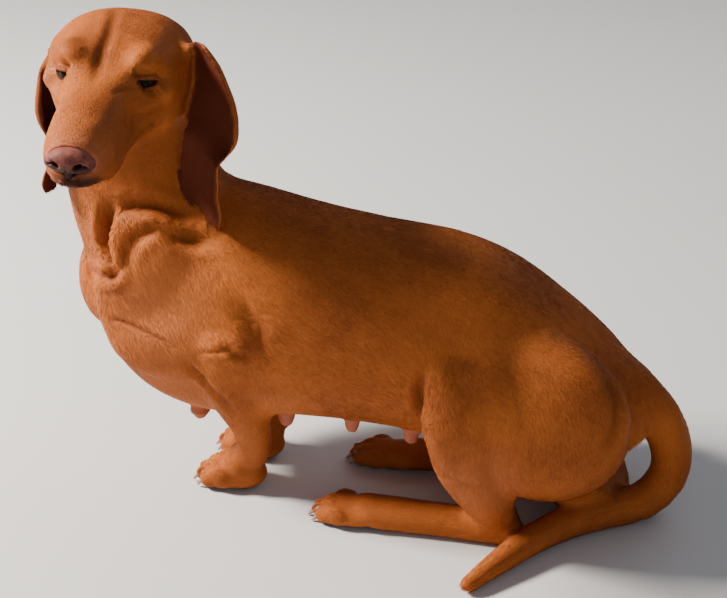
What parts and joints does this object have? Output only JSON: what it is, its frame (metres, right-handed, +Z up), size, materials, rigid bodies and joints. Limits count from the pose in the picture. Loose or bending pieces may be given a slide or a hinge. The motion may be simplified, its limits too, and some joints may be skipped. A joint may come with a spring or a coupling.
{
  "type": "dachshund figure",
  "caption": "Life-size still model of a smooth-haired red dachshund sitting with its head turned to its left.",
  "frame": {"origin": "centre of the bounding box on the floor", "axes": "the dog faces -X, its left side is towards -Y, +Z is up"},
  "size_m": [0.4519, 0.2746, 0.3547],
  "materials": {
    "coat": "short smooth red coat",
    "nose_leather": "damp pebbled skin",
    "eye": "wet dark eye"
  },
  "bodies": {
    "root": {"torso": "coat", "neck": "coat", "head": "coat", "nose": "nose_leather", "ear_left": "coat", "ear_right": "coat", "eye_left": "eye", "eye_right": "eye", "foreleg_left": "coat", "foreleg_right": "coat", "forepaw_left": "coat", "forepaw_right": "coat", "hindleg_left": "coat", "hindleg_right": "coat", "hindpaw_left": "coat", "hindpaw_right": "coat", "tail": "coat"}
  },
  "joints": []
}
